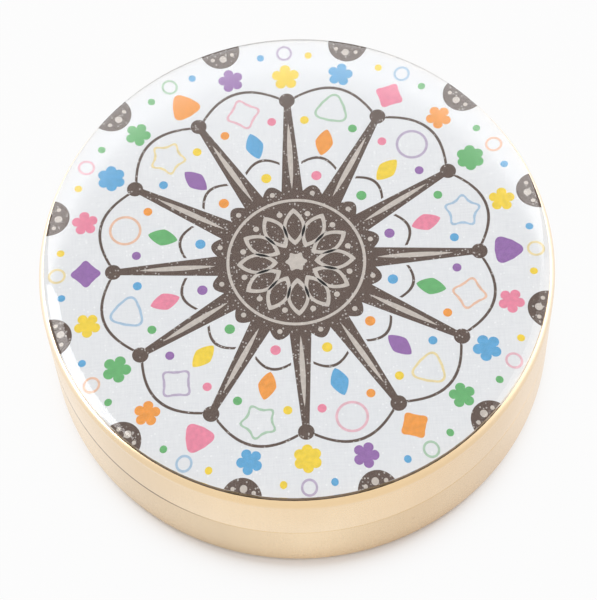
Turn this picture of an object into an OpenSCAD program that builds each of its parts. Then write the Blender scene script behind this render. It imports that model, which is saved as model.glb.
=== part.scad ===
// Round hinged trinket box: a plated metal base and lid that meet at a flush seam,
// a printed disc under a clear resin dome in the lid, and a let-in barrel hinge at the back.
// The origin is the centre of the face that the box stands on, the front is -Y, the hinge is at +Y.

/* [Box] */
// Outer diameter of base and lid
box_d = 60; // [50:0.5:80]
// Height of the lid's metal shoulder above the table
rim_h = 18.5; // [17.5:0.1:24]
// Height of the seam between base and lid
seam_h = 9.5; // [8.4:0.1:10.2]
// Gap between base and lid at the seam
seam_gap = 0.07; // [0.06:0.01:0.2]
// Bevel of the two edges that meet at the seam
seam_bevel = 0.05; // [0.03:0.01:0.2]

/* [Base] */
// Wall thickness of the base
base_wall = 1.2; // [1:0.05:1.6]
// Thickness of the floor
floor_t = 1.2; // [0.8:0.05:1.6]
// Rounding of the bottom corner
base_corner_r = 0.9; // [0.4:0.05:1.2]
// Width of the flat ring that the box stands on
foot_w = 2.6; // [1.5:0.1:5]
// Depth of the recess inside the ring
foot_recess = 0.4; // [0.2:0.05:0.6]

/* [Lid] */
// Rounding of the upper outer edge
shoulder_r = 1; // [0.7:0.05:1.3]
// Width of the metal lip that shows round the resin
lip_w = 0.6; // [0.4:0.05:0.9]
// Depth of the recess for the picture, from the shoulder's height
recess_h = 1; // [0.8:0.05:2]
// Thickness of the plate under the picture
plate_t = 1; // [0.8:0.05:1.4]
// Fillet between the plate and the inside of the lid's wall
lid_fillet_r = 0.8; // [0.4:0.05:1.2]

/* [Closing collar] */
// Thickness of the collar
collar_t = 0.8; // [0.6:0.05:1]
// Height that the collar stands above the seam
collar_rise = 2.2; // [1.6:0.1:2.8]
// Play between collar and lid, on the radius
collar_fit = 0.2; // [0.15:0.01:0.3]
// Radius of the bead that the lid snaps over
bead_r = 0.4; // [0.3:0.05:0.6]
// Height that the bead stands proud of the collar
bead_proud = 0.1; // [0.05:0.01:0.12]
// Distance of the bead below the collar's top
bead_drop = 0.9; // [0.7:0.05:1.2]

/* [Hinge] */
// Outer diameter of the knuckles
knuckle_d = 2.5; // [2.2:0.1:3]
// Diameter of the hinge pin
pin_d = 1; // [0.8:0.05:1.2]
// Play of the pin in the knuckles, on the radius
pin_fit = 0.03; // [0.02:0.01:0.06]
// Length of the whole barrel
barrel_len = 17; // [14:0.5:19]
// Number of knuckles, the odd ones belong to the base
knuckle_count = 5; // [3:2:7]
// Gap between neighbouring knuckles
knuckle_gap = 0.12; // [0.08:0.01:0.2]
// Thickness of the leaves
leaf_t = 0.75; // [0.6:0.05:0.8]
// Height of the base's leaf, from the pin's axis
base_leaf_h = 5.3; // [3.5:0.1:6]
// Distance of the lid's leaf below the fillet inside the lid
lid_leaf_drop = 0.9; // [0.4:0.1:2]
// Rounding of the leaves' free corners
leaf_corner_r = 1.2; // [0.6:0.1:2]
// Gap round a knuckle that turns past a leaf or a wall
turn_gap = 0.12; // [0.08:0.01:0.2]
// Angle at which the bevelled edges would meet
stop_angle = 106; // [95:1:120]
// Height of the riveted ends of the pin
pin_head_h = 0.15; // [0.1:0.01:0.2]

/* [Picture] */
// Thickness of the printed disc
disc_t = 0.25; // [0.15:0.05:0.4]
// Gap between the recess and what lies in it
recess_fit = 0.06; // [0.04:0.01:0.1]
// Height that the resin's upright side stands above the lip
resin_side = 0.85; // [0.3:0.05:1.1]
// Height that the resin swells above its side
resin_rise = 1.1; // [0.8:0.05:1.8]
// Distance from the edge over which the swelling slows down, as a drop's edge does
resin_run = 1.6; // [1:0.1:2.2]
// Height of the shallow crown over the middle of the resin
resin_crown = 0.15; // [0:0.05:0.4]

/* [Lining] */
// Thickness of the card discs
card_t = 0.8; // [0.6:0.05:1]
// Thickness of the padded velvet on the floor
floor_velvet_t = 1.6; // [1.2:0.1:2]
// Thickness of the padded velvet in the lid
lid_velvet_t = 1; // [0.8:0.05:1.2]
// Rounding of the velvet's free edges
velvet_edge_r = 0.6; // [0.4:0.05:0.7]
// Thickness of the card strip round the inside
strip_card_t = 0.4; // [0.3:0.05:0.6]
// Thickness of the velvet on the strip
strip_velvet_t = 0.6; // [0.4:0.05:0.7]
// Distance of the strip's top below the collar's top
strip_drop = 1; // [0.6:0.1:1.5]
// Gap between the lining pieces and their neighbours
lining_fit = 0.1; // [0.05:0.01:0.2]

/* [Hidden] */
$fn = 128;

// Overrun of every cut past the metal
cut = 1;
// Radii and levels of the base
box_r = box_d / 2;
base_bore_r = box_r - base_wall;
floor_z = foot_recess + floor_t;
base_top_z = seam_h - seam_gap / 2;
// Radii and levels of the lid
lid_bore_r = base_bore_r + collar_fit;
lid_bottom_z = seam_h + seam_gap / 2;
recess_r = box_r - lip_w;
recess_z = rim_h - recess_h;
plate_z = recess_z - plate_t;
// Height of the lip's sharp inner edge, which lies on the shoulder's arc
lip_z = rim_h - shoulder_r + sqrt(pow(shoulder_r, 2) - pow(shoulder_r - min(lip_w, shoulder_r), 2));
// Collar
collar_bore_r = base_bore_r - collar_t;
collar_top_z = seam_h + collar_rise;
// Hinge axis, with the barrel flush with the wall at its middle
knuckle_r = knuckle_d / 2;
pin_r = pin_d / 2;
axis_y = box_r - knuckle_r;
knuckle_len = (barrel_len - (knuckle_count - 1) * knuckle_gap) / knuckle_count;
knuckle_pitch = knuckle_len + knuckle_gap;
// Room past each end of the barrel, for the pin's heads
barrel_end = knuckle_gap + pin_head_h;
// The notch reaches past the barrel and at least as far as the wall stands outside the axis
wall_past_axis = sqrt(pow(box_r, 2) - pow(axis_y, 2));
notch_half = max(barrel_len / 2, wall_past_axis) + barrel_end;
collar_gap_half = barrel_len / 2 + barrel_end + collar_fit;
lid_leaf_h = plate_z - lid_fillet_r - lid_leaf_drop - seam_h;
// Picture
disc_r = recess_r - recess_fit;
disc_z = recess_z + disc_t;
// Straight steps in the resin's outline, and how much closer they lie towards the edge
resin_steps = 20;
resin_step_power = 2.4;
// Lining
strip_r = base_bore_r - max(collar_t, leaf_t);
strip_bore_r = strip_r - strip_card_t - strip_velvet_t;
strip_top_z = collar_top_z - strip_drop;
pad_r = strip_bore_r - lining_fit;
lid_pad_r = min(lid_bore_r - lid_fillet_r, collar_bore_r) - lining_fit;
// Plated metal, steel, resin, paper, card and velvet as they look
gold = "#E9D0AA";
steel = "#B9B4AA";
clear = [0.9, 0.94, 0.96, 0.35];
paper = "#ECEDEE";
board = "#C9B79C";
velvet = "#5B4A42";

// Half section from the axis to radius r, with a rounded upper outer corner
module rounded_section(r, z_low, z_high, corner_r) {
    translate([0, z_low]) square([r, z_high - corner_r - z_low]);
    translate([0, z_low]) square([r - corner_r, z_high - z_low]);
    translate([r - corner_r, z_high - corner_r]) intersection() {
        circle(corner_r);
        square(corner_r);
    }
}

// The same with a rounded lower outer corner
module rounded_under_section(r, z_low, z_high, corner_r) {
    mirror([0, 1]) rounded_section(r, -z_high, -z_low, corner_r);
}

// What the bevel takes off the outer edge at height z: side is 1 for metal below z and -1 for metal above it
module seam_bevel_cut(z, side) {
    outside = seam_bevel + cut;
    polygon([
        [box_r - outside, z + side * cut],
        [box_r + cut, z + side * cut],
        [box_r + cut, z - side * outside]
    ]);
}

// Half section of a plain bore or disc
module plain_section(r, z_low, z_high) {
    translate([0, z_low]) square([r, z_high - z_low]);
}

// A cylinder along the hinge axis, from x to x + len
module along_axis(x, len, r) {
    translate([x, axis_y, seam_h]) rotate([0, 90, 0]) cylinder(h = len, r = r);
}

// The room for the barrel: a groove round it and bevels that meet when the lid stands open
module hinge_notch() {
    reach = knuckle_d + cut;
    rise = reach * tan(stop_angle / 2);
    along_axis(-notch_half, 2 * notch_half, knuckle_r + turn_gap);
    translate([-notch_half, axis_y, seam_h])
        rotate([90, 0, 90])
            linear_extrude(2 * notch_half) polygon([[0, 0], [reach, -rise], [reach, rise]]);
}

// Start of knuckle i on the X axis
function knuckle_x(i) = i * knuckle_pitch - barrel_len / 2;

// The knuckles of one leaf: first is 0 for the base and 1 for the lid
module knuckles(first) {
    for (i = [first : 2 : knuckle_count - 1]) along_axis(knuckle_x(i), knuckle_len, knuckle_r);
}

// The room that the other leaf's knuckles need to turn in
module knuckle_room(first) {
    for (i = [first : 2 : knuckle_count - 1])
        along_axis(knuckle_x(i) - knuckle_gap, knuckle_len + 2 * knuckle_gap, knuckle_r + turn_gap);
}

// Front view of a leaf that grows from the axis to height h, with two round free corners
module leaf_outline(h) {
    square([barrel_len, 2 * (h - leaf_corner_r)], center = true);
    square([barrel_len - 2 * leaf_corner_r, 2 * h], center = true);
    for (x = [-1, 1], z = [-1, 1])
        translate([x * (barrel_len / 2 - leaf_corner_r), z * (h - leaf_corner_r)]) circle(leaf_corner_r);
}

// Curved plate of height h against the wall of radius bore_r: side is 1 above the seam and -1 below it
module leaf_plate(bore_r, h, side) {
    intersection() {
        difference() {
            cylinder(h = rim_h, r = bore_r);
            translate([0, 0, -cut]) cylinder(h = rim_h + 2 * cut, r = bore_r - leaf_t);
        }
        translate([0, box_r, seam_h]) rotate([90, 0, 0]) linear_extrude(box_r) leaf_outline(h);
        // Only the half on this leaf's side of the seam
        translate([-box_r, 0, seam_h + (side > 0 ? knuckle_gap : -knuckle_gap - h)])
            cube([box_d, box_r, h]);
    }
}

module base_shell() {
    color(gold) difference() {
        rotate_extrude() difference() {
            rounded_under_section(box_r, 0, base_top_z, base_corner_r);
            seam_bevel_cut(base_top_z, 1);
            plain_section(base_bore_r, floor_z, seam_h + cut);
            plain_section(box_r - base_corner_r - foot_w, -cut, foot_recess);
        }
        hinge_notch();
    }
}

module closing_collar() {
    bead_x = base_bore_r + bead_proud - bead_r;
    color(gold) difference() {
        rotate_extrude() {
            difference() {
                plain_section(base_bore_r, floor_z, collar_top_z - collar_t / 2);
                plain_section(collar_bore_r, 0, collar_top_z + cut);
            }
            translate([base_bore_r - collar_t / 2, collar_top_z - collar_t / 2]) circle(collar_t / 2);
            translate([bead_x, collar_top_z - bead_drop]) circle(bead_r);
        }
        // Opening for the barrel and the base's leaf
        translate([-collar_gap_half, 0, seam_h - base_leaf_h - collar_fit])
            cube([2 * collar_gap_half, box_r, base_leaf_h + collar_fit + collar_rise + cut]);
    }
}

module base_hinge_leaf() {
    color(gold) difference() {
        union() {
            difference() {
                leaf_plate(base_bore_r, base_leaf_h, -1);
                knuckle_room(1);
            }
            knuckles(0);
        }
        along_axis(-barrel_len, 2 * barrel_len, pin_r + pin_fit);
    }
}

module lid_hinge_leaf() {
    color(gold) difference() {
        union() {
            difference() {
                leaf_plate(lid_bore_r, lid_leaf_h, 1);
                knuckle_room(0);
            }
            knuckles(1);
        }
        along_axis(-barrel_len, 2 * barrel_len, pin_r + pin_fit);
    }
}

// Plain pin with a low round head riveted over at each end
module hinge_pin() {
    head_r = pin_r + pin_fit + knuckle_gap;
    half = barrel_len / 2;
    color(steel) {
        along_axis(-half, barrel_len, pin_r);
        for (side = [-1, 1])
            translate([side * half, axis_y, seam_h]) rotate([0, 90 * side, 0]) riveted_head(head_r);
    }
}

// Spherical cap on its flat face
module riveted_head(r) {
    ball_r = (pow(r, 2) + pow(pin_head_h, 2)) / (2 * pin_head_h);
    rotate_extrude() intersection() {
        translate([0, pin_head_h - ball_r]) circle(ball_r);
        square([r, pin_head_h]);
    }
}

module lid_shell() {
    color(gold) difference() {
        rotate_extrude() difference() {
            rounded_section(box_r, lid_bottom_z, rim_h, shoulder_r);
            rounded_section(lid_bore_r, lid_bottom_z - cut, plate_z, lid_fillet_r);
            seam_bevel_cut(lid_bottom_z, -1);
            plain_section(recess_r, recess_z, rim_h + cut);
        }
        hinge_notch();
    }
}

module image_disc() {
    color(paper) rotate_extrude() plain_section(disc_r, recess_z, disc_z);
}

// Height of the resin at radius r: like the edge of a drop, with a shallow crown over all
function resin_z(r) = lip_z + resin_side + resin_rise * (1 - exp((r - disc_r) / resin_run))
    + resin_crown * (1 - pow(r / disc_r, 2));

// Clear resin that fills the recess, stands upright above the lip and swells to a dome
module resin_dome() {
    radii = [for (i = [0 : resin_steps]) disc_r * (1 - pow(i / resin_steps, resin_step_power))];
    color(clear) rotate_extrude() polygon(concat(
        [[0, disc_z], [disc_r, disc_z]],
        [for (r = radii) [r, resin_z(r)]]));
}

module floor_card() {
    color(board) rotate_extrude() plain_section(pad_r, floor_z, floor_z + card_t);
}

module floor_velvet() {
    low = floor_z + card_t;
    color(velvet) rotate_extrude() rounded_section(pad_r, low, low + floor_velvet_t, velvet_edge_r);
}

module lid_card() {
    color(board) rotate_extrude() plain_section(lid_pad_r, plate_z - card_t, plate_z);
}

module lid_velvet() {
    high = plate_z - card_t;
    color(velvet) rotate_extrude()
        rounded_under_section(lid_pad_r, high - lid_velvet_t, high, velvet_edge_r);
}

// Strip round the inside of the collar, cut down where the barrel reaches into the box
module strip(outer_r, inner_r) {
    difference() {
        rotate_extrude() difference() {
            plain_section(outer_r, floor_z, strip_top_z);
            plain_section(inner_r, 0, rim_h);
        }
        translate([-collar_gap_half - lining_fit, 0, seam_h - knuckle_r - strip_card_t])
            cube([2 * (collar_gap_half + lining_fit), box_r, rim_h]);
    }
}

module strip_card() {
    color(board) strip(strip_r, strip_r - strip_card_t);
}

module strip_velvet() {
    color(velvet) strip(strip_r - strip_card_t, strip_bore_r);
}

base_shell();
closing_collar();
base_hinge_leaf();
hinge_pin();
floor_card();
floor_velvet();
strip_card();
strip_velvet();
lid_shell();
lid_hinge_leaf();
image_disc();
resin_dome();
lid_card();
lid_velvet();
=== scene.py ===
# Round hinged trinket box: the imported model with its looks, a studio floor, lamps and the camera.
# Lengths are in metres and lie in the model's own frame: front -Y, hinge +Y, up +Z.
import math
import random

import bmesh
import bpy
from mathutils import Matrix, Vector, noise
from mathutils.geometry import tessellate_polygon

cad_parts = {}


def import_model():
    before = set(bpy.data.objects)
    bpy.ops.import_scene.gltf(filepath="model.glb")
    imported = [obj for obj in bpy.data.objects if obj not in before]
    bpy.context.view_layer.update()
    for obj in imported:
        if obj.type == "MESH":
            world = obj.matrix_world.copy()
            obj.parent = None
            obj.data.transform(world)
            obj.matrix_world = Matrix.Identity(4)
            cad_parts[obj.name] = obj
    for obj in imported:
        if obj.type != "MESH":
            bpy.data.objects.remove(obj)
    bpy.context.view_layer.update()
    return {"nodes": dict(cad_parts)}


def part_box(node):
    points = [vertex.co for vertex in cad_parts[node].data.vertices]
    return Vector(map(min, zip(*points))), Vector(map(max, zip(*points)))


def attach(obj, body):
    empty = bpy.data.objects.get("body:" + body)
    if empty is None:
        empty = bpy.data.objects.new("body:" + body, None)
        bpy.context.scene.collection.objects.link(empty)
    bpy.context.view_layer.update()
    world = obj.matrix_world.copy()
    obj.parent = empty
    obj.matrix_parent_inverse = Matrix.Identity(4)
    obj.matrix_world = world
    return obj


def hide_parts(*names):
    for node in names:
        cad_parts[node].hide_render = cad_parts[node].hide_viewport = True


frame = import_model()

mm = 0.001

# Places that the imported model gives
lid_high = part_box("lid_shell")[1]
disc_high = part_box("image_disc")[1]
dome_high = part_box("resin_dome")[1]
box_r = lid_high.x
lip_z = lid_high.z
print_r = disc_high.x
print_z = disc_high.z
dome_r = dome_high.x

# Camera, fitted to the outlines of the box in the photograph. The sensor's width is in millimetres,
# and the origin's place in the picture is in pixels from its middle.
PHOTO_LONG_SIDE = 600
SENSOR = 36
CAMERA_DISTANCE = 333.2 * mm
CAMERA_ELEVATION = math.radians(65.93)
CAMERA_ROLL = math.radians(3.36)
PIXELS_PER_METRE = 8187
ORIGIN_RIGHT_OF_MIDDLE = 1.64
ORIGIN_BELOW_MIDDLE = 27.55

# Brightness of the white surroundings, to the eye and in mirrors, and then on matt surfaces
WHITE = 0.975
WORLD_LIGHT = 0.55

# Lamps: their distance, the power per area that gives a radiance of 1, and the share of its height
# up to which a fading lamp grows brighter
LAMP_DISTANCE = 0.8
LAMP_POWER = 4
LAMP_RISE_SHARE = 0.75

# Floor: its radius, the distances over which it fades out, its share of that white, and its tones
FLOOR_R = 0.5
FLOOR_STEPS = 96
FLOOR_FADE = (0.12, 0.45)
FLOOR_WHITE = 0.985
FLOOR_TONES = ((0.95, 0.94, 0.96, 1), (0.97, 0.96, 0.98, 1))

# Shadow beside the box: the share of the floor's real shade that shows at one box radius from the
# shadow's middle, and the reach over which that share falls off outwards to about a third
SHADOW_SHARE = 0.115
SHADOW_REACH = 1 * mm
SHADOW_MIDDLE = (-0.15 * mm, -2.6 * mm, 0)

# Ranges of a noise texture's values: their middle, and most of them
MIDDLE = (0.35, 0.65)
MOST = (0.3, 0.7)

# Sockets of a mix node that mixes colours
MIX_SHARE = 0
MIX_COLOURS = (6, 7)
MIX_RESULT = 2


def srgb(red, green, blue):
    """Linear colour of an sRGB colour given from 0 to 255."""
    def linear(v):
        v /= 255
        return v / 12.92 if v <= 0.04045 else ((v + 0.055) / 1.055) ** 2.4
    return linear(red), linear(green), linear(blue), 1.0


def shares(steps):
    """Even steps from 0 to 1, with both ends."""
    return [i / steps for i in range(steps + 1)]


def full_turn(steps):
    """Angles of even steps round a circle."""
    return [2 * math.pi * i / steps for i in range(steps)]


# Node trees

class Nodes:
    """The node tree of a new material, world or lamp, with short calls for its nodes."""

    def __init__(self, owner):
        self.owner = owner
        owner.use_nodes = True
        self.tree = owner.node_tree
        self.tree.nodes.clear()

    def put(self, socket, value):
        if isinstance(value, bpy.types.NodeSocket):
            self.tree.links.new(value, socket)
        else:
            socket.default_value = value

    def add(self, kind, inputs=None, **settings):
        node = self.tree.nodes.new(kind)
        for key, value in settings.items():
            setattr(node, key, value)
        for key, value in (inputs or {}).items():
            self.put(node.inputs[key], value)
        return node

    def place(self):
        return self.add("ShaderNodeTexCoord").outputs["Object"]

    def parts(self, vector):
        """The three numbers of a vector."""
        return list(self.add("ShaderNodeSeparateXYZ", {"Vector": vector}).outputs)

    def math(self, operation, a, b=0.0, clamp=False):
        return self.add("ShaderNodeMath", {0: a, 1: b}, operation=operation, use_clamp=clamp).outputs[0]

    def stretched(self, vector, scale):
        return self.add("ShaderNodeMapping", {"Vector": vector, "Scale": scale}).outputs[0]

    def noise(self, vector, scale=1.0, detail=3.0, roughness=0.55):
        inputs = {"Vector": vector, "Scale": scale, "Detail": detail, "Roughness": roughness}
        return self.add("ShaderNodeTexNoise", inputs).outputs["Fac"]

    def spread(self, value, given, wanted, **settings):
        """The value, moved from the given range to the wanted one and held inside it."""
        inputs = {"Value": value, "From Min": given[0], "From Max": given[1],
                  "To Min": wanted[0], "To Max": wanted[1]}
        return self.add("ShaderNodeMapRange", inputs, **settings).outputs[0]

    def across(self, value, radius_shares, wanted):
        """The same, with the given range in shares of the box's radius."""
        return self.spread(value, [share * box_r for share in radius_shares], wanted)

    def mix(self, share, a, b):
        inputs = {MIX_SHARE: share, MIX_COLOURS[0]: a, MIX_COLOURS[1]: b}
        return self.add("ShaderNodeMix", inputs, data_type="RGBA").outputs[MIX_RESULT]

    def blend(self, share, a, b):
        """Mix of two shaders."""
        return self.add("ShaderNodeMixShader", {0: share, 1: a.outputs[0], 2: b.outputs[0]})

    def bump(self, height, strength, depth, normal=None):
        inputs = {"Height": height, "Strength": strength, "Distance": depth}
        if normal is not None:
            inputs["Normal"] = normal
        return self.add("ShaderNodeBump", inputs).outputs[0]

    def end(self, kind, shader):
        """Ends the tree in an output node of that kind and gives its owner."""
        self.add(kind, {"Surface": shader.outputs[0]})
        return self.owner

    def surface(self, inputs):
        """Ends a material's tree in one principled shader and gives the material."""
        return self.end("ShaderNodeOutputMaterial", self.add("ShaderNodeBsdfPrincipled", inputs))


def new_nodes(name):
    """Nodes of a new material."""
    return Nodes(bpy.data.materials.new(name))


# The size at which a speck's soft edge ends, as a multiple of its own
FLECK_EDGE = 1.6


def flecks(tree, place, scale, share, size):
    """Mask of round specks: one cell in so many holds a speck."""
    cells = tree.add("ShaderNodeTexVoronoi", {"Vector": place, "Scale": scale, "Randomness": 1.0})
    pick = tree.add("ShaderNodeSeparateColor", {"Color": cells.outputs["Color"]}).outputs[0]
    chosen = tree.math("GREATER_THAN", pick, 1 - share)
    near = tree.spread(cells.outputs["Distance"], (size, size * FLECK_EDGE), (1.0, 0.0))
    return tree.math("MULTIPLY", chosen, near)


# Gold plating

# Looks of the two halves. Soft clouds run from light to dark, the tone turns to GOLD_ABOVE over the
# heights, and from the flank's share of the radius outwards a band of painted shade is deeper by the depth.
BASE_LOOK = {
    "light": srgb(247, 220, 176),
    "dark": srgb(240, 210, 164),
    "heights": (1 * mm, 12 * mm),
    "flank": 0.04,
    "depth": 0.42,
}
LID_LOOK = {
    "light": srgb(247, 220, 179),
    "dark": srgb(242, 213, 170),
    "heights": (9 * mm, 17 * mm),
    "flank": 0.35,
    "depth": 0.3,
}

# Further tones, and the share of each where there is most of it
GOLD_ABOVE = srgb(243, 212, 164)
GOLD_ABOVE_SHARE = 0.7
# Painted shade in a band on either flank of the walls
GOLD_FLANK_PAINTED_SHADE = srgb(190, 160, 112)
# Painted shade that makes the right side darker and warmer
GOLD_RIGHT_PAINTED_SHADE = srgb(225, 180, 115)
GOLD_RIGHT_PAINTED_SHADE_SHARE = 0.3
GOLD_STREAK = srgb(170, 140, 105)
GOLD_STREAK_SHARE = 0.03
GOLD_SPECK = srgb(176, 142, 98)
GOLD_SPECK_SHARE = 0.2
# The rounding below the lip: deeper gold at the front, paling at the back to near white as a painted
# highlight
GOLD_LIP_FRONT = srgb(236, 207, 164)
GOLD_LIP_BACK_PAINTED_HIGHLIGHT = srgb(250, 242, 229)
GOLD_LIP_SHARE = 0.6

# Where tone and gloss change, in shares of the radius to the right (X) or to the back (Y)
FLANK_SHADE_RISE_SHARE = 0.3
FLANK_SHADE_END_X_SHARES = (0.72, 0.88)
RIGHT_SHADE_X_SHARES = (0.1, 0.45)
LIP_HIGHLIGHT_Y_SHARES = (-0.95, -0.2)
GLOSSY_X_SHARES = (-0.5, 0.0)
GLOSSY_Y_SHARES = (-0.8, -0.2)

# Rounding below the lip: how far below it the rounding starts, and where it is in full
ROUNDING_START = 1.7 * mm
ROUNDING_FULL = 0.3 * mm

# Painted shade along the seam, for the shade in the gap between lid and base: the seam's height, where the
# dark line ends above and below it, where it fades towards the right, and the share that is left of it there
SEAM_Z = 9.5 * mm
SEAM_PAINTED_SHADE = srgb(88, 62, 42)
SEAM_PAINTED_SHADE_HALF = (0.13 * mm, 0.24 * mm)
SEAM_PAINTED_SHADE_X_SHARES = (-0.6, -0.36)
SEAM_PAINTED_SHADE_REST_SHARE = 0.05

# Roughness: what the clouds give, what the grain adds, what the rounding adds, and what the
# rounding adds to that at the front left
GOLD_ROUGHNESS = (0.24, 0.29)
GRAIN_ROUGHNESS = (-0.02, 0.03)
LIP_ROUGHNESS = 0.12
LIP_FRONT_LEFT_ROUGHNESS = -0.18


def rounding(tree, z):
    """Mask of the rounding below the lip."""
    return tree.spread(z, (lip_z - ROUNDING_START, lip_z - ROUNDING_FULL), (0.0, 1.0))


def seam_painted_shade(tree, x, z):
    """Mask of a dark line of painted shade along the seam, strong at the left and faint elsewhere."""
    off_seam = tree.math("ABSOLUTE", tree.math("SUBTRACT", z, SEAM_Z))
    line = tree.spread(off_seam, SEAM_PAINTED_SHADE_HALF, (1.0, 0.0))
    return tree.math("MULTIPLY", line, tree.across(x, SEAM_PAINTED_SHADE_X_SHARES, (1.0, SEAM_PAINTED_SHADE_REST_SHARE)))


def gold_tone(tree, place, clouds, look):
    """The plating's colour: clouds, painted shade in a band on either flank and on the right, streaks,
    specks, painted shade along the seam, and a lip that pales to a painted highlight at the back.
    """
    x, y, z = tree.parts(place)
    tone = tree.mix(tree.spread(clouds, MIDDLE, (0.0, 1.0)), look["light"], look["dark"])
    tone = tree.mix(tree.spread(z, look["heights"], (0.0, GOLD_ABOVE_SHARE)), tone, GOLD_ABOVE)
    # Painted shade: a darker band on either flank, standing in for darker reflections there
    aside = tree.math("ABSOLUTE", x)
    flank_shade = tree.across(aside, (look["flank"], look["flank"] + FLANK_SHADE_RISE_SHARE), (0.0, look["depth"]))
    flank_shade = tree.math("MULTIPLY", flank_shade, tree.across(aside, FLANK_SHADE_END_X_SHARES, (1.0, 0.0)))
    tone = tree.mix(flank_shade, tone, GOLD_FLANK_PAINTED_SHADE)
    # Painted shade: the right side darker and warmer, for the shade that the walls mirror there
    tone = tree.mix(tree.across(x, RIGHT_SHADE_X_SHARES, (0.0, GOLD_RIGHT_PAINTED_SHADE_SHARE)), tone, GOLD_RIGHT_PAINTED_SHADE)
    streaks = tree.noise(tree.stretched(place, (1500, 1500, 110)), detail=2.0)
    tone = tree.mix(tree.spread(streaks, MIDDLE, (0.0, GOLD_STREAK_SHARE)), tone, GOLD_STREAK)
    specks = flecks(tree, place, scale=420, share=0.03, size=0.1)
    tone = tree.mix(tree.math("MULTIPLY", specks, GOLD_SPECK_SHARE), tone, GOLD_SPECK)
    # Painted shade along the seam
    tone = tree.mix(seam_painted_shade(tree, x, z), tone, SEAM_PAINTED_SHADE)
    # The rounding's tone pales towards the back into a painted highlight
    lip = tree.mix(tree.across(y, LIP_HIGHLIGHT_Y_SHARES, (0.0, 1.0)), GOLD_LIP_FRONT, GOLD_LIP_BACK_PAINTED_HIGHLIGHT)
    return tree.mix(tree.math("MULTIPLY", rounding(tree, z), GOLD_LIP_SHARE), tone, lip)


def gold_gloss(tree, place, clouds, grain):
    """The plating's roughness. The rounding below the lip is duller, but not at the front left."""
    x, y, z = tree.parts(place)
    gloss = tree.spread(clouds, MOST, GOLD_ROUGHNESS)
    gloss = tree.math("ADD", gloss, tree.spread(grain, MOST, GRAIN_ROUGHNESS))
    glossier = tree.math("MULTIPLY", tree.across(y, GLOSSY_Y_SHARES, (LIP_FRONT_LEFT_ROUGHNESS, 0.0)),
                         tree.across(x, GLOSSY_X_SHARES, (1.0, 0.0)))
    duller = tree.math("MULTIPLY", rounding(tree, z), tree.math("ADD", glossier, LIP_ROUGHNESS))
    return tree.math("ADD", gloss, duller)


def plated_gold(name, look):
    """Satin champagne plating over spun metal, with faint rings round the axis and a fine grain."""
    tree = new_nodes(name)
    place = tree.place()
    x, y, z = tree.parts(place)
    flat = tree.add("ShaderNodeCombineXYZ", {"X": x, "Y": y}).outputs[0]
    radius = tree.add("ShaderNodeVectorMath", {0: flat}, operation="LENGTH").outputs["Value"]
    turned = tree.add("ShaderNodeCombineXYZ", {"X": radius, "Y": z}).outputs[0]
    rings = tree.noise(turned, scale=7000, detail=4.0)
    grain = tree.noise(place, scale=6500)
    clouds = tree.noise(place, scale=70)
    normal = tree.bump(rings, strength=0.06, depth=0.01 * mm)
    return tree.surface({
        "Base Color": gold_tone(tree, place, clouds, look),
        "Metallic": 1.0,
        "Roughness": gold_gloss(tree, place, clouds, grain),
        "Normal": tree.bump(grain, strength=0.05, depth=0.01 * mm, normal=normal),
        "Coat Weight": 0.5,
        "Coat Roughness": 0.25,
    })


# Other materials

def drawn_steel():
    """Pin wire, with fine lines along its length."""
    tree = new_nodes("pin_steel")
    lines = tree.noise(tree.stretched(tree.place(), (200, 9000, 9000)))
    return tree.surface({
        "Base Color": tree.mix(lines, srgb(196, 192, 184), srgb(222, 219, 212)),
        "Metallic": 1.0,
        "Roughness": tree.spread(lines, MOST, (0.22, 0.38)),
        "Normal": tree.bump(lines, strength=0.2, depth=0.01 * mm),
    })


def board():
    """Plain grey-brown board with paper fibres."""
    tree = new_nodes("card")
    fibres = tree.noise(tree.stretched(tree.place(), (2500, 900, 2500)), detail=5.0)
    return tree.surface({
        "Base Color": tree.mix(fibres, srgb(188, 171, 145), srgb(212, 198, 173)),
        "Roughness": 0.85,
        "Specular IOR Level": 0.25,
        "Normal": tree.bump(fibres, strength=0.4, depth=0.04 * mm),
    })


def velvet():
    """Short-pile velvet: a fine nap that lies in soft patches, light at grazing angles."""
    tree = new_nodes("velvet")
    place = tree.place()
    nap = tree.noise(place, scale=260, detail=4.0, roughness=0.65)
    pile = tree.noise(place, scale=9000, detail=2.0, roughness=0.7)
    tone = tree.mix(tree.spread(nap, MIDDLE, (0.0, 1.0)), srgb(86, 68, 60), srgb(100, 81, 71))
    return tree.surface({
        "Base Color": tree.mix(tree.spread(pile, MOST, (0.0, 0.45)), tone, srgb(58, 44, 39)),
        "Roughness": 0.95,
        "Specular IOR Level": 0.1,
        "Sheen Weight": 0.55,
        "Sheen Roughness": 0.4,
        "Sheen Tint": srgb(226, 206, 192),
        "Normal": tree.bump(pile, strength=0.7, depth=0.12 * mm),
    })


def printed(tree, tone):
    """Ends the tree of a dull printed surface."""
    return tree.surface({"Base Color": tone, "Roughness": 0.6, "Specular IOR Level": 0.1})


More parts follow.
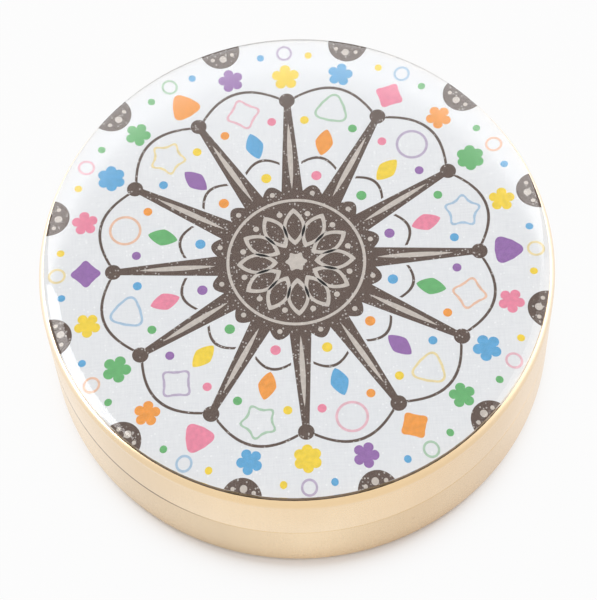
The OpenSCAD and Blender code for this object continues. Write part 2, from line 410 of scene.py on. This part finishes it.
def pearl_paper():
    """The print's pale ground, with a faint linen grain and a little pearl glitter."""
    tree = new_nodes("print_ground")
    place = tree.place()
    across = tree.noise(tree.stretched(place, (5200, 500, 1)), detail=2.0)
    along = tree.noise(tree.stretched(place, (500, 5200, 1)), detail=2.0)
    linen = tree.math("MULTIPLY", tree.math("ADD", across, along), 0.5)
    clouds = tree.noise(place, scale=60)
    tone = tree.mix(tree.spread(linen, MIDDLE, (0.0, 1.0)), srgb(223, 224, 227), srgb(232, 233, 235))
    tone = tree.mix(tree.spread(clouds, MIDDLE, (0.0, 0.35)), tone, srgb(221, 224, 228))
    glitter = flecks(tree, place, scale=2600, share=0.12, size=0.22)
    return printed(tree, tree.mix(tree.math("MULTIPLY", glitter, 0.5), tone, srgb(250, 251, 252)))


# Darker patches of an ink, as a share of its colour
INK_SHADE = 0.86


def ink(name, colour, glitter):
    """Printed colour: slightly uneven, with fine pale glitter where there is any."""
    tree = new_nodes("ink_" + name)
    place = tree.place()
    grain = tree.noise(place, scale=1800, detail=4.0)
    darker = tuple(INK_SHADE * v for v in colour[:3]) + (1.0,)
    tone = tree.mix(tree.spread(grain, MIDDLE, (0.0, 1.0)), colour, darker)
    if glitter:
        fine = flecks(tree, place, scale=3200, share=0.3, size=0.24)
        coarse = flecks(tree, place, scale=1500, share=0.05, size=0.13)
        sparkle = tree.math("MULTIPLY", tree.math("MAXIMUM", fine, coarse), glitter)
        tone = tree.mix(sparkle, tone, srgb(236, 232, 228))
    return printed(tree, tone)


# Resin dome: its upright side, the run over which its swelling slows down, its crown, how deep it
# sinks into the disc, its rows of faces, how strongly they crowd at the edge, and its steps round
RESIN_SIDE = 0.85 * mm
RESIN_RUN = 1.6 * mm
RESIN_CROWN = 0.15 * mm
RESIN_SINK = 0.02 * mm
RESIN_ROWS = 48
RESIN_CROWDING = 2.2
RESIN_STEPS = 360

# Painted shade on the resin's side: a dark line that stands for the shadow in the gap beside the lip at the
# front. It is full up to a share of the side's height and ends a little above the side. Between two shares of
# the radius to the back it fades to what is left of it.
RESIN_PAINTED_SHADE_TONE = srgb(28, 18, 13)
RESIN_PAINTED_SHADE_FULL_SHARE = 0.85
RESIN_PAINTED_SHADE_ABOVE = 0.02 * mm
RESIN_PAINTED_SHADE_Y_SHARES = (-0.72, -0.6)
RESIN_PAINTED_SHADE_REST_SHARE = 0.2


def clear_resin():
    """Clear cast resin that lets light through to the print, with a dark line of painted shade at the front.
    """
    tree = new_nodes("resin")
    place = tree.place()
    waves = tree.noise(place, scale=55, detail=1.0)
    y, z = tree.parts(place)[1:]
    # Painted shade: the dark line on the side's outer face, strongest at the front
    heights = (lip_z + RESIN_PAINTED_SHADE_FULL_SHARE * RESIN_SIDE, lip_z + RESIN_SIDE + RESIN_PAINTED_SHADE_ABOVE)
    line = tree.spread(z, heights, (1.0, 0.0))
    inside = tree.add("ShaderNodeNewGeometry").outputs["Backfacing"]
    line = tree.math("MULTIPLY", line, tree.math("SUBTRACT", 1.0, inside))
    line = tree.math("MULTIPLY", line, tree.across(y, RESIN_PAINTED_SHADE_Y_SHARES, (1.0, RESIN_PAINTED_SHADE_REST_SHARE)))
    resin = tree.add("ShaderNodeBsdfPrincipled", {
        "Base Color": tree.mix(line, (1, 1, 1, 1), RESIN_PAINTED_SHADE_TONE),
        "Roughness": 0.015,
        "IOR": 1.5,
        "Transmission Weight": 1.0,
        "Normal": tree.bump(waves, strength=0.12, depth=0.1 * mm),
    })
    window = tree.add("ShaderNodeBsdfTransparent", {"Color": (0.98, 0.985, 0.985, 1)})
    path = tree.add("ShaderNodeLightPath").outputs
    lighting = tree.math("MAXIMUM", path["Is Shadow Ray"], path["Is Diffuse Ray"])
    return tree.end("ShaderNodeOutputMaterial", tree.blend(lighting, resin, window))


# Meshes

# An edge with a wider angle than this between its faces isn't shaded smooth
SHARP = math.radians(35)


def add_piece(name, vertices, faces, material, body, replaces=()):
    """A new piece of mesh in the model's frame, smooth but for its sharp edges."""
    mesh = bpy.data.meshes.new(name)
    mesh.from_pydata(vertices, [], faces)
    build = bmesh.new()
    build.from_mesh(mesh)
    bmesh.ops.recalc_face_normals(build, faces=build.faces)
    for face in build.faces:
        face.smooth = True
    for edge in build.edges:
        edge.smooth = edge.calc_face_angle(0) < SHARP
    build.to_mesh(mesh)
    build.free()
    mesh.materials.append(material)
    piece = bpy.data.objects.new(name, mesh)
    bpy.context.scene.collection.objects.link(piece)
    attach(piece, body)
    if replaces:
        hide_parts(*replaces)
    return piece


def revolved(profile, steps):
    """Vertices and faces of an outline from axis to axis, turned round Z."""
    vertices, rows, faces = [], [], []
    for radius, z in profile:
        if radius == 0:
            rows.append([len(vertices)] * steps)
            vertices.append((0, 0, z))
        else:
            rows.append([len(vertices) + i for i in range(steps)])
            vertices += [(radius * math.cos(a), radius * math.sin(a), z) for a in full_turn(steps)]
    for low, high in zip(rows, rows[1:]):
        for i in range(steps):
            j = (i + 1) % steps
            corners = [low[i], low[j], high[j], high[i]]
            faces.append(list(dict.fromkeys(corners)))
    return vertices, faces


def resin_dome(material):
    """Resin that fills the recess, stands upright above the lip and swells as the edge of a drop does."""
    rise = dome_high.z - lip_z - RESIN_SIDE - RESIN_CROWN
    low = print_z - RESIN_SINK
    profile = [(0, low), (dome_r, low), (dome_r, lip_z)]
    for share in shares(RESIN_ROWS):
        r = dome_r * (1 - share ** RESIN_CROWDING)
        swell = rise * (1 - math.exp((r - dome_r) / RESIN_RUN)) + RESIN_CROWN * (1 - (r / dome_r) ** 2)
        profile.append((r, lip_z + RESIN_SIDE + swell))
    vertices, faces = revolved(profile, RESIN_STEPS)
    return add_piece("resin", vertices, faces, material, "lid", ["resin_dome"])


# Print: a rosette of geometric motifs round the middle of the disc, with its sizes in millimetres

TAUPE = srgb(89, 71, 62)
CREAM = srgb(202, 193, 185)
GROUND = srgb(228, 229, 231)
ACCENTS = {
    "blue": srgb(96, 170, 218),
    "orange": srgb(245, 158, 66),
    "yellow": srgb(247, 214, 62),
    "pink": srgb(238, 138, 164),
    "green": srgb(104, 180, 112),
    "purple": srgb(150, 106, 172),
}

# Share of the ground in a pale ink
PALE_SHARE = 0.45

# Thickness of a layer of ink, in metres as all heights are
INK = 0.02 * mm

SECTORS = 12
SECTOR = 2 * math.pi / SECTORS
EDGE_R = print_r / mm
MOTIF_STEPS = 48
DOT_STEPS = 24

# Hub, with its bows between the spokes, its ring and its star
HUB_R = 9.2
HUB_BOW = 0.9
HUB_BOW_STEPS = 18
HUB_RING_R = 8.1
HUB_RING_LINE = 0.35
HUB_RING_STEPS = 96
HUB_STAR_R = 1.25
HUB_STAR_CORNERS = 6

# Spokes, which taper to a round knob
SPOKE_HALF = 1.25
SPOKE_END_HALF = 0.42
SPOKE_END = 20.4
KNOB_R = 0.95
KNOB_STEPS = 16

# Petals in the hub and inlays in the spokes: from radius to radius, and their width. A petal that is
# drawn as a line has an inner outline, shorter at either tip and narrower by these shares of the line.
HUB_PETAL = (2.1, 6.9, 2.6)
HUB_PETAL_LINE = 0.36
SPOKE_INLAY = (9.4, 18.2, 0.62)
PETAL_STEPS = 20
PETAL_POWER = 0.8
PETAL_TIP_SHARE = 1.8
PETAL_WIDTH_SHARE = 2.2

# Bows from ray to ray: their radius, their rise and their share of a sector
BOWS = ((12.9, 0.9, 0.62), (21.6, 1.7, 0.84))
BOW_LINE = 0.34
BOW_STEPS = 24

# Parts of discs at the print's edge
FAN_R = 2.3
FAN_EDGE_STEPS = 12
FAN_STEPS = 20

# Dots: their radius, and the distance of their middle from the disc's. Those in pairs lie aside of a
# ray by a turn in radians, or by a share of half a sector.
HUB_DOT = (0.34, 6.3)
BOW_DOT = (0.3, 9.05)
FAN_DOT = (0.42, 28.2)
FAN_SIDE_DOT = (0.24, 28.45)
FAN_SIDE_TURN = 0.042
INNER_DOT = (0.6, 11.4)
PAIR_DOT = (0.52, 18.6)
PAIR_SHARE = 0.6
OUTER_DOT = (0.42, 27.3)
OUTER_SHARE = 0.4

# Motifs: the distance of their middle from the disc's, and their line where they have one
DIAMOND_LENGTH = 1.75
DIAMOND_WIDTH = 1.05
DIAMOND_AT = 15.9
LINE_AT = 20.4
LINE = 0.3
FLORET_R = 1.5
FLORET_PETALS = 5
FLORET_AT = 25.2
SOLID_AT = 24.4
SOLID_STEPS = 90
RING_R = 0.95
RING_AT = 27.6
RING_LINE = 0.26
RING_STEPS = 32


def polar(radius, turn=0.0, centre=(0, 0), steps=MOTIF_STEPS):
    """Closed outline whose radius is a function of the angle."""
    x, y = centre
    return [(x + radius(a) * math.cos(a + turn), y + radius(a) * math.sin(a + turn))
            for a in full_turn(steps)]


def dot(radius):
    return lambda a: radius


def floret(radius, petals, depth=0.42):
    """Round petals with narrow clefts, one petal along the angle 0."""
    power = 0.6
    return lambda a: radius * (1 - depth + depth * abs(math.cos(petals * a / 2)) ** power)


def soft_polygon(radius, corners):
    """Polygon with bowed sides and round corners."""
    corner_share, side_share = 0.13, 0.03
    return lambda a: radius * (1 - corner_share + corner_share * math.cos(corners * a)
                               + side_share * math.cos(2 * corners * a))


def diamond(length, width):
    """Diamond with slightly bowed sides, long along the angle 0."""
    power = 1.35
    return lambda a: (abs(math.cos(a) / length) ** power + abs(math.sin(a) / width) ** power) ** (-1 / power)


LINE_MOTIFS = [soft_polygon(2.1, 3), dot(1.9), soft_polygon(2.15, 5), soft_polygon(2.0, 4)]
SOLID_MOTIFS = [floret(1.65, 5), soft_polygon(1.65, 4), floret(1.65, 6, 0.3), soft_polygon(1.8, 3)]


def at(radius, angle):
    """Point of the print, with the angle counted from the back of the box."""
    return radius * math.sin(angle), radius * math.cos(angle)


def turned_out(points, angle):
    """Points along and aside of a ray, turned to that ray's angle from the back of the box."""
    c, s = math.sin(angle), math.cos(angle)
    return [(along * c + aside * s, along * s - aside * c) for along, aside in points]


def spot(size, angle):
    """Dot of a radius, at a distance from the middle."""
    radius, distance = size
    return [polar(dot(radius), centre=at(distance, angle), steps=DOT_STEPS)]


def motif(shape, radius, angle, steps=MOTIF_STEPS):
    """A shape with its angle 0 pointing away from the middle of the disc."""
    return [polar(shape, math.pi / 2 - angle, at(radius, angle), steps)]


def line_motif(shape, radius, angle, line=LINE, steps=MOTIF_STEPS):
    """The same, drawn as a line."""
    return motif(shape, radius, angle, steps) + motif(lambda a: shape(a) - line, radius, angle, steps)


def petal(inner, outer, width, angle):
    """Pointed oval along a ray, from one radius to another."""
    side = [(inner + (outer - inner) * t, width / 2 * math.sin(math.pi * t) ** PETAL_POWER)
            for t in shares(PETAL_STEPS)]
    return turned_out(side + [(x, -y) for x, y in side[-2:0:-1]], angle)


def line_petal(inner, outer, width, angle, line):
    """The same, drawn as a line."""
    tip, narrower = PETAL_TIP_SHARE * line, PETAL_WIDTH_SHARE * line
    return [petal(inner, outer, width, angle), petal(inner + tip, outer - tip, width - narrower, angle)]


def bow(radius, rise, angle, half_angle):
    """Line from ray to ray that bows outwards."""
    def row(offset):
        return [at(radius + offset + rise * math.sin(math.pi * t), angle + (2 * t - 1) * half_angle)
                for t in shares(BOW_STEPS)]
    return row(BOW_LINE / 2) + row(-BOW_LINE / 2)[::-1]


def rim_fan(angle):
    """Part of a disc that the print's edge cuts in half."""
    reach = 2 * math.asin(FAN_R / (2 * EDGE_R))
    edge = [at(EDGE_R, angle - reach + 2 * reach * t) for t in shares(FAN_EDGE_STEPS)]
    lean = math.pi / 2 - reach / 2
    turns = [-lean + 2 * lean * t for t in shares(FAN_STEPS)[1:-1]]
    inner = [(EDGE_R - FAN_R * math.cos(a), -FAN_R * math.sin(a)) for a in turns]
    return edge + turned_out(inner, angle)


def hub_outline():
    """The hub, bowed out between its tapered spokes, as one outline."""
    foot = math.asin(SPOKE_HALF / HUB_R)
    opening = math.asin(SPOKE_END_HALF / KNOB_R)
    knob_x = SPOKE_END + KNOB_R * math.cos(opening)
    turns = [opening - math.pi + 2 * (math.pi - opening) * t for t in shares(KNOB_STEPS)]
    spoke = [(HUB_R * math.cos(foot), -SPOKE_HALF)]
    spoke += [(knob_x + KNOB_R * math.cos(a), KNOB_R * math.sin(a)) for a in turns]
    points = []
    for k in range(SECTORS):
        points += turned_out(spoke, k * SECTOR)
        points += [at(HUB_R + HUB_BOW * math.sin(math.pi * t), k * SECTOR + foot + (SECTOR - 2 * foot) * t)
                   for t in shares(HUB_BOW_STEPS)]
    return points


def accent(k):
    """Name of an accent ink, counted round and round."""
    return list(ACCENTS)[k % len(ACCENTS)]


def add_sector(shapes, k):
    """Adds one sector's shapes to those of their inks."""
    spoke, middle = k * SECTOR, (k + 0.5) * SECTOR
    shapes["cream"].append(line_petal(*HUB_PETAL, spoke, HUB_PETAL_LINE))
    shapes["cream"].append(spot(HUB_DOT, middle))
    shapes["cream"].append(spot(BOW_DOT, middle))
    shapes["cream"].append([petal(*SPOKE_INLAY, spoke)])
    for radius, rise, share in BOWS:
        shapes["taupe"].append([bow(radius, rise, middle, share * SECTOR / 2)])
    shapes["taupe"].append([rim_fan(middle)])
    shapes["cream"].append(spot(FAN_DOT, middle))
    for side in (-1, 1):
        shapes["cream"].append(spot(FAN_SIDE_DOT, middle + side * FAN_SIDE_TURN))
        shapes[accent(k + 3 + side)].append(spot(PAIR_DOT, middle + side * PAIR_SHARE * SECTOR / 2))
        shapes[accent(2 * k + 1 + side)].append(spot(OUTER_DOT, spoke + side * OUTER_SHARE * SECTOR / 2))
    shapes[accent(k + 3)].append(spot(INNER_DOT, middle))
    shapes[accent(k + 1)].append(motif(diamond(DIAMOND_LENGTH, DIAMOND_WIDTH), DIAMOND_AT, middle))
    line_shape = LINE_MOTIFS[k % len(LINE_MOTIFS)]
    shapes["pale_" + accent(k + 4)].append(line_motif(line_shape, LINE_AT, middle))
    shapes[accent(k)].append(motif(floret(FLORET_R, FLORET_PETALS), FLORET_AT, middle, SOLID_STEPS))
    solid_shape = SOLID_MOTIFS[k % len(SOLID_MOTIFS)]
    shapes[accent(k + 2)].append(motif(solid_shape, SOLID_AT, spoke, SOLID_STEPS))
    ring = line_motif(dot(RING_R), RING_AT, spoke, RING_LINE, RING_STEPS)
    shapes["pale_" + accent(k + 5)].append(ring)


def print_shapes():
    """The rosette's shapes, as lists of outlines under the names of their inks."""
    names = ["taupe", "cream", *ACCENTS]
    names += ["pale_" + name for name in ACCENTS]
    shapes = {name: [] for name in names}
    shapes["taupe"].append([hub_outline()])
    shapes["cream"].append([polar(soft_polygon(HUB_STAR_R, HUB_STAR_CORNERS))])
    shapes["cream"].append([polar(dot(HUB_RING_R), steps=HUB_RING_STEPS),
                            polar(dot(HUB_RING_R - HUB_RING_LINE), steps=HUB_RING_STEPS)])
    for k in range(SECTORS):
        add_sector(shapes, k)
    return shapes


def print_layer(name, shapes, level, material):
    """One ink: flat prisms over closed outlines, each with its holes."""
    vertices, faces = [], []
    top, bottom = print_z + level * INK, print_z - INK / 2
    for loops in shapes:
        start = len(vertices)
        rings = [[Vector((x, y, 0)) for x, y in loop] for loop in loops]
        flat = [point for ring in rings for point in ring]
        count = len(flat)
        vertices += [(p.x * mm, p.y * mm, top) for p in flat]
        vertices += [(p.x * mm, p.y * mm, bottom) for p in flat]
        for a, b, c in tessellate_polygon(rings):
            faces.append((start + a, start + b, start + c))
            faces.append((start + count + c, start + count + b, start + count + a))
        first = start
        for loop in loops:
            for i in range(len(loop)):
                a, b = first + i, first + (i + 1) % len(loop)
                faces.append((a, b, b + count, a + count))
            first += len(loop)
    return add_piece(name, vertices, faces, material, "lid")


def paler(colour):
    """The colour with a share of the print's ground in it."""
    return tuple((1 - PALE_SHARE) * v + PALE_SHARE * g for v, g in zip(colour, GROUND))


def print_inks():
    """Every ink as a thin layer on the disc, the cream over the taupe."""
    inks = {"taupe": ink("taupe", TAUPE, glitter=0.5), "cream": ink("cream", CREAM, glitter=0.3)}
    for name, colour in ACCENTS.items():
        inks[name] = ink(name, colour, glitter=0.0)
        inks["pale_" + name] = ink("pale_" + name, paler(colour), glitter=0.0)
    for name, shapes in print_shapes().items():
        level = 2 if name == "cream" else 1
        print_layer("print_" + name, shapes, level, inks[name])


# Velvet pads: the width of the rolled edge, the share of the thickness by which the middle stands
# higher than the edge, how uneven the velvet lies, and how many uneven patches there are to a metre
PAD_EDGE = 1.15 * mm
PAD_CROWN_SHARE = 0.17
PAD_UNEVEN = 0.05 * mm
PAD_PATCHES = 140
PAD_ROWS = 40
PAD_STEPS = 256

# Their folds: how many, how far from an even spacing, how deep, how wide in radians, how many widths
# they reach, the share of the radius where they start, and the share over which they deepen
FOLDS = 64
FOLD_SHIFT = 0.35
FOLD_DEPTH = (0.04 * mm, 0.13 * mm)
FOLD_WIDTH = (0.012, 0.03)
FOLD_REACH = 3
FOLD_START_SHARE = 0.84
FOLD_RUN_SHARE = 0.12


def pad_folds(node):
    """Places, depths and widths of a pad's folds, always the same for the same node."""
    rng = random.Random(node)
    return [(2 * math.pi * (i + rng.uniform(-FOLD_SHIFT, FOLD_SHIFT)) / FOLDS,
             rng.uniform(*FOLD_DEPTH), rng.uniform(*FOLD_WIDTH)) for i in range(FOLDS)]


def pad_height(r, angle, radius, thick, folds):
    """Height of a pad's face over its back, at a distance from the middle and an angle."""
    roll = max(0.0, (r - radius + PAD_EDGE) / PAD_EDGE)
    crown = 1 - PAD_CROWN_SHARE + PAD_CROWN_SHARE * (1 - (r / radius) ** 2)
    level = thick * crown * math.sqrt(max(0.0, 1 - roll ** 2))
    strength = min(1.0, max(0.0, (r / radius - FOLD_START_SHARE) / FOLD_RUN_SHARE))
    if strength:
        for place, depth, width in folds:
            gap = (angle - place + math.pi) % (2 * math.pi) - math.pi
            if abs(gap) < FOLD_REACH * width:
                level -= depth * strength * math.exp(-(gap / width) ** 2) * min(1.0, level / thick * 2)
    where = Vector((r * math.cos(angle), r * math.sin(angle), 0)) * PAD_PATCHES
    uneven = PAD_UNEVEN * (0.5 + 0.5 * noise.noise(where))
    return max(0.0, level - uneven * min(1.0, level / thick))


def pad(name, node, facing, body, material):
    """Padded velvet disc: a low crown, a rolled edge and small folds where it is drawn round its card."""
    low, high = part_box(node)
    radius, thick = high.x, high.z - low.z
    back = low.z if facing > 0 else high.z
    folds = pad_folds(node)

    def face_z(r, angle):
        return back + facing * pad_height(r, angle, radius, thick, folds)

    vertices, faces = [(0, 0, face_z(0, 0))], []
    for share in shares(PAD_ROWS)[1:]:
        r = radius * math.sin(math.pi / 2 * share)
        vertices += [(r * math.cos(a), r * math.sin(a), face_z(r, a)) for a in full_turn(PAD_STEPS)]
    for i in range(PAD_STEPS):
        faces.append((0, 1 + i, 1 + (i + 1) % PAD_STEPS))
    for row in range(PAD_ROWS - 1):
        first = 1 + row * PAD_STEPS
        for i in range(PAD_STEPS):
            a, b = first + i, first + (i + 1) % PAD_STEPS
            faces.append((a, a + PAD_STEPS, b + PAD_STEPS, b))
    rim = 1 + (PAD_ROWS - 1) * PAD_STEPS
    faces.append(tuple(rim + i for i in range(PAD_STEPS)))
    piece = add_piece(name, vertices, faces, material, body, [node])
    return piece


# Velvet strip: its thickness, how far it bulges inwards, the dip of its top edge under the hinge, and
# its flat size
STRIP_T = 0.6 * mm
STRIP_BULGE = 0.1 * mm
STRIP_CUT_HALF = 9.07 * mm
STRIP_CUT_Z = 7.85 * mm
STRIP_CUT_SLOPE = 0.35 * mm
STRIP_CUT_STEPS = 8
STRIP_STEPS = 360
STRIP_WALL_STEPS = 12
STRIP_ROLL_STEPS = 5


def strip_section(outer, foot, crest):
    """Outline of the strip, from its foot up the inner side and over the rolled edge."""
    inner, roll = outer - STRIP_T, STRIP_T / 2
    section = [(outer, foot)]
    section += [(inner + STRIP_BULGE * abs(2 * t - 1) ** 3, foot + (crest - roll - foot) * t)
                for t in shares(STRIP_WALL_STEPS)]
    for share in shares(STRIP_ROLL_STEPS)[1:]:
        a = math.pi / 2 * share
        section.append((outer - roll - (roll - STRIP_BULGE) * math.cos(a), crest - roll + roll * math.sin(a)))
    return section + [(outer, crest)]


def strip(material):
    """Velvet strip round the inside, with a rolled top edge that dips under the hinge."""
    low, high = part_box("strip_velvet")
    outer, inner = high.x, high.x - STRIP_T
    cut = math.asin(STRIP_CUT_HALF / inner)
    slope = STRIP_CUT_SLOPE / inner
    turns = full_turn(STRIP_STEPS)
    for side in (-1, 1):
        turns += [math.pi / 2 + side * (cut + slope * share) for share in shares(STRIP_CUT_STEPS)]
    turns.sort()

    def top(angle):
        away = abs((angle - math.pi / 2 + math.pi) % (2 * math.pi) - math.pi) - cut
        share = min(1.0, max(0.0, away / slope))
        return STRIP_CUT_Z + (high.z - STRIP_CUT_Z) * share * share * (3 - 2 * share)

    vertices, faces = [], []
    for angle in turns:
        section = strip_section(outer, low.z, top(angle))
        vertices += [(r * math.cos(angle), r * math.sin(angle), z) for r, z in section]
    count = len(section)
    for k in range(len(turns)):
        here, there = k * count, (k + 1) % len(turns) * count
        for i in range(count):
            j = (i + 1) % count
            faces.append((here + i, here + j, there + j, there + i))
    piece = add_piece("velvet_strip", vertices, faces, material, "base", ["strip_velvet"])
    return piece


def dress(node, material):
    """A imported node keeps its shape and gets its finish."""
    for slot in frame["nodes"][node].material_slots:
        slot.material = material


# Stage, lamps and camera

def seen_or_mirrored(tree):
    """1 for what the camera sees directly, in a mirror or through glass, and 0 for light on surfaces."""
    path = tree.add("ShaderNodeLightPath").outputs
    seen = path["Is Camera Ray"]
    for ray in ("Is Glossy Ray", "Is Transmission Ray"):
        seen = tree.math("MAXIMUM", seen, path[ray])
    return seen


def floor():
    """White table that keeps the box's shadow beside it and fades out into the white round it."""
    tree = new_nodes("floor")
    place = tree.place()
    distance = tree.add("ShaderNodeVectorMath", {0: place, 1: SHADOW_MIDDLE}, operation="DISTANCE")
    reach = distance.outputs["Value"]
    away = tree.math("DIVIDE", tree.math("SUBTRACT", box_r, reach), SHADOW_REACH)
    shadow = tree.math("MULTIPLY", tree.math("EXPONENT", away), SHADOW_SHARE, clamp=True)
    white_share = tree.math("MULTIPLY", tree.math("SUBTRACT", 1.0, shadow), FLOOR_WHITE)
    tone = tree.mix(tree.noise(place, scale=40, detail=2.0), *FLOOR_TONES)
    table = tree.add("ShaderNodeBsdfDiffuse", {"Color": tone})
    white = tree.add("ShaderNodeEmission", {"Strength": WHITE})
    lit = tree.blend(tree.math("MULTIPLY", seen_or_mirrored(tree), white_share), table, white)
    clear = tree.add("ShaderNodeBsdfTransparent")
    fading = tree.blend(tree.spread(reach, FLOOR_FADE, (0.0, 1.0)), lit, clear)
    bpy.ops.mesh.primitive_circle_add(vertices=FLOOR_STEPS, radius=FLOOR_R, fill_type="NGON")
    table_top = bpy.context.object
    table_top.name = "floor"
    table_top.data.materials.append(tree.end("ShaderNodeOutputMaterial", fading))


def world():
    """White surroundings, as bright as white paper to the camera and in reflections."""
    bpy.context.scene.world = bpy.data.worlds.new("studio")
    tree = Nodes(bpy.context.scene.world)
    level = tree.spread(seen_or_mirrored(tree), (0.0, 1.0), (WORLD_LIGHT, WHITE))
    tree.end("ShaderNodeOutputWorld",
             tree.add("ShaderNodeBackground", {"Color": (1, 1, 1, 1), "Strength": level}))


def fade_lamp(lamp, foot, top):
    """Darkens a lamp to a share of its strength at its foot, and to nothing over a share at its top."""
    tree = Nodes(lamp)
    up = tree.parts(tree.add("ShaderNodeNewGeometry").outputs["Parametric"])[1]
    level = tree.spread(up, (0.0, LAMP_RISE_SHARE), (foot, 1.0))
    level = tree.spread(up, (1.0, 1.0 - top), (0.0, level), interpolation_type="SMOOTHSTEP")
    tree.end("ShaderNodeOutputLight", tree.add("ShaderNodeEmission", {"Strength": level}))


def softbox(name, azimuth, elevation, spread, radiance, mirrored, fade=None):
    """Rectangular lamp that faces the box. Azimuth 0 is at the front and 90 at the right.

    The spread is the angles that it covers across and upwards. It shows only in reflections if it
    is mirrored, and else only lights matt surfaces. The fade is given to fade_lamp.
    """
    lamp = bpy.data.lights.new(name, "AREA")
    lamp.shape = "RECTANGLE"
    lamp.size, lamp.size_y = (2 * LAMP_DISTANCE * math.tan(math.radians(angle) / 2) for angle in spread)
    lamp.energy = LAMP_POWER * lamp.size * lamp.size_y * radiance
    if fade:
        fade_lamp(lamp, *fade)
    holder = bpy.data.objects.new(name, lamp)
    a, e = math.radians(azimuth), math.radians(elevation)
    towards = Vector((math.sin(a) * math.cos(e), -math.cos(a) * math.cos(e), math.sin(e)))
    holder.location = towards * LAMP_DISTANCE
    holder.rotation_euler = towards.to_track_quat("Z", "Y").to_euler()
    holder.visible_diffuse = not mirrored
    holder.visible_glossy = mirrored
    bpy.context.scene.collection.objects.link(holder)


def camera():
    """Camera at the photograph's place, aimed so that the box lies in the frame as it does there."""
    e, roll = CAMERA_ELEVATION, CAMERA_ROLL
    back = Vector((0, -math.cos(e), math.sin(e)))
    level, rise = Vector((1, 0, 0)), Vector((0, math.sin(e), math.cos(e)))
    right = math.cos(roll) * level - math.sin(roll) * rise
    up = math.sin(roll) * level + math.cos(roll) * rise
    position = back * CAMERA_DISTANCE
    aim = (ORIGIN_BELOW_MIDDLE * up - ORIGIN_RIGHT_OF_MIDDLE * right) / PIXELS_PER_METRE
    back = (position - aim).normalized()
    right = up.cross(back).normalized()
    up = back.cross(right)
    data = bpy.data.cameras.new("camera")
    data.sensor_width = SENSOR
    data.lens = PIXELS_PER_METRE * CAMERA_DISTANCE * SENSOR / PHOTO_LONG_SIDE
    holder = bpy.data.objects.new("camera", data)
    turn = Matrix((right, up, back)).transposed().to_4x4()
    holder.matrix_world = Matrix.Translation(position) @ turn
    bpy.context.scene.collection.objects.link(holder)
    bpy.context.scene.camera = holder


camera()
floor()
world()
softbox("lamp_top", azimuth=180, elevation=80, spread=(60, 50), radiance=1.43, mirrored=False)
softbox("lamp_back", azimuth=180, elevation=32, spread=(100, 64), radiance=3.0, mirrored=True,
        fade=(0.65, 0.2))
softbox("lamp_left", azimuth=265, elevation=40, spread=(36, 26), radiance=3.9, mirrored=True)
softbox("lamp_right", azimuth=92, elevation=28, spread=(40, 36), radiance=0.9, mirrored=True)

base_gold = plated_gold("gold_base", BASE_LOOK)
lid_gold = plated_gold("gold_lid", LID_LOOK)
card = board()
for node in ("base_shell", "closing_collar", "base_hinge_leaf"):
    dress(node, base_gold)
for node in ("lid_shell", "lid_hinge_leaf"):
    dress(node, lid_gold)
for node in ("floor_card", "strip_card", "lid_card"):
    dress(node, card)
dress("hinge_pin", drawn_steel())
dress("image_disc", pearl_paper())
print_inks()
resin_dome(clear_resin())
nap = velvet()
pad("velvet_floor", "floor_velvet", facing=1, body="base", material=nap)
pad("velvet_lid", "lid_velvet", facing=-1, body="lid", material=nap)
strip(nap)

bpy.context.scene.view_settings.view_transform = "Standard"
